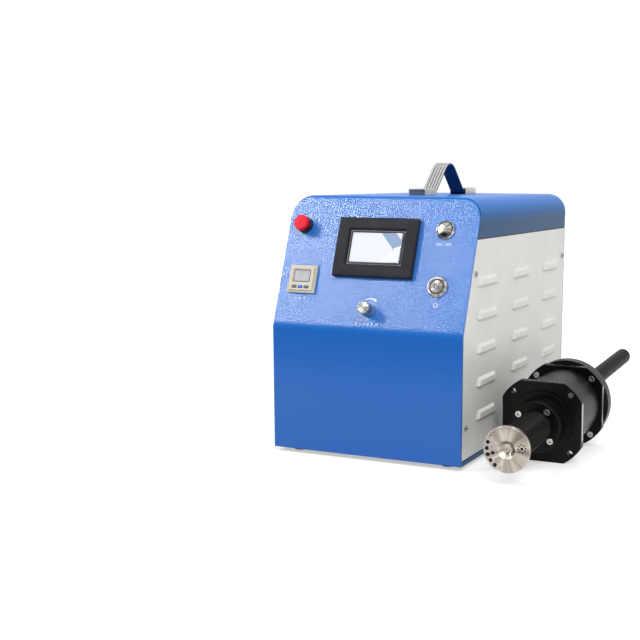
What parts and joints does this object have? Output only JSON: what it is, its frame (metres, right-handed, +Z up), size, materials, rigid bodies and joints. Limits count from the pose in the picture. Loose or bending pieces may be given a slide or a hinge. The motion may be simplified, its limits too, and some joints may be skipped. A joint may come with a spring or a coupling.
{
  "type": "plasma cleaner",
  "caption": "Atmospheric plasma generator with a slanted control front, strap handle and louvred sides, and its rotary plasma gun.",
  "frame": {"origin": "middle of the set's footprint, on the surface it stands on", "axes": "+Z up, +Y from the front panel to the rear, +X to the viewer's right as seen from the front"},
  "size_m": [0.3726, 0.5054, 0.3527],
  "materials": {
    "blue_front": "fine orange-peel powder coat",
    "blue_cover": "smooth satin paint",
    "white_paint": "satin off-white paint",
    "black_rubber": "moulded rubber",
    "zinc_steel": "zinc-plated steel",
    "grey_rubber": "ribbed vinyl strap",
    "chrome": "polished plate",
    "charcoal_plastic": "fine-textured moulding",
    "screen_glass": "switched-off display under its film",
    "beige_plastic": "moulded plastic",
    "meter_lcd": "blank display",
    "grey_key": "silicone key",
    "blue_key": "silicone key",
    "brushed_steel": "turned steel",
    "black_plastic": "moulded plastic",
    "red_plastic": "glossy push head",
    "aluminium": "turned and fluted",
    "brass": "turned brass",
    "board_green": "circuit board",
    "ferrite": "sintered ferrite and laminations",
    "copper": "enamelled wire",
    "ceramic": "alumina",
    "black_anodised": "black anodised, machined",
    "gun_body_paint": "dark satin anodised",
    "tube_black": "black sleeve",
    "stainless": "faced stainless steel"
  },
  "bodies": {
    "generator": {"front_panel": "blue_front", "top_cover": "blue_cover", "side_panel_right": "white_paint", "side_panel_left": "white_paint", "seam_gaskets": "black_rubber", "base_tray": "blue_cover", "feet": "black_rubber", "corner_brackets": "zinc_steel", "rear_panel": "white_paint", "handle_strap": "grey_rubber", "handle_caps": "chrome", "screen_frame": "charcoal_plastic", "screen_glass": "screen_glass", "screen_housing": "charcoal_plastic", "meter_bezel": "beige_plastic", "meter_display": "meter_lcd", "meter_body": "beige_plastic", "run_button_bezel": "chrome", "power_button_bezel": "brushed_steel", "stop_button_base": "black_plastic", "potentiometer": "zinc_steel", "fan_frame": "black_plastic", "fan_guard": "chrome", "mains_inlet": "black_plastic", "gas_inlet": "brass", "gun_socket": "aluminium", "power_module": "zinc_steel", "control_board": "board_green", "transformer_core": "ferrite", "transformer_coils": "copper", "gas_valve": "brass", "housing_screws": "zinc_steel", "panel_nuts": "zinc_steel", "button_contacts": "black_plastic", "contact_pins": "brass"},
    "gun": {"gun_front_plate": "black_anodised", "gun_rear_plate": "black_anodised", "gun_body_tube": "gun_body_paint", "gun_rear_cap": "gun_body_paint", "gun_boss": "black_anodised", "gun_bolts": "chrome", "gun_bearings": "brushed_steel", "gun_motor_stator": "ferrite", "gun_rear_tube": "tube_black", "electrode_holder": "ceramic", "electrode": "copper"},
    "nozzle": {"gun_spindle": "brushed_steel", "gun_motor_rotor": "ferrite", "nozzle_tube": "black_anodised", "nozzle_collar": "black_anodised", "nozzle_disc": "stainless"},
    "run_button": {"run_button_cap": "chrome"},
    "power_button": {"power_button_cap": "brushed_steel"},
    "stop_button": {"stop_button_head": "red_plastic"},
    "knob": {"power_knob": "aluminium", "potentiometer_shaft": "brushed_steel"},
    "key_left": {"meter_key_left": "grey_key"},
    "key_middle": {"meter_key_middle": "blue_key"},
    "key_right": {"meter_key_right": "grey_key"},
    "fan": {"fan_rotor": "black_plastic"}
  },
  "joints": [
    {"name": "gun_lift", "type": "slide", "parent": "generator", "child": "gun", "axis": [0, 0, 1], "range_m": [0, 0.25]},
    {"name": "nozzle_spin", "type": "hinge", "parent": "gun", "child": "nozzle", "pos_m": [0.1323, -0.125, 0.04869], "axis": [0, -0.9988, -0.0499], "continuous": true},
    {"name": "run_press", "type": "slide", "parent": "generator", "child": "run_button", "axis": [0, 0.9367, -0.3502], "range_m": [0, 0.002], "stiffness_N_per_m": 600},
    {"name": "power_press", "type": "slide", "parent": "generator", "child": "power_button", "axis": [0, 0.9367, -0.3502], "range_m": [0, 0.002], "stiffness_N_per_m": 600},
    {"name": "stop_press", "type": "slide", "parent": "generator", "child": "stop_button", "axis": [0, 0.9367, -0.3502], "range_m": [0, 0.003], "stiffness_N_per_m": 700},
    {"name": "key_left_press", "type": "slide", "parent": "generator", "child": "key_left", "axis": [0, 0.9367, -0.3502], "range_m": [0, 0.0005], "stiffness_N_per_m": 400},
    {"name": "key_middle_press", "type": "slide", "parent": "generator", "child": "key_middle", "axis": [0, 0.9367, -0.3502], "range_m": [0, 0.0005], "stiffness_N_per_m": 400},
    {"name": "key_right_press", "type": "slide", "parent": "generator", "child": "key_right", "axis": [0, 0.9367, -0.3502], "range_m": [0, 0.0005], "stiffness_N_per_m": 400},
    {"name": "knob_turn", "type": "hinge", "parent": "generator", "child": "knob", "pos_m": [-0.0577, -0.20225, 0.17962], "axis": [0, -0.9367, 0.3502], "range_deg": [-150, 150]},
    {"name": "fan_spin", "type": "hinge", "parent": "generator", "child": "fan", "pos_m": [-0.1117, 0.184, 0.1952], "axis": [0, 1, 0], "continuous": true}
  ]
}
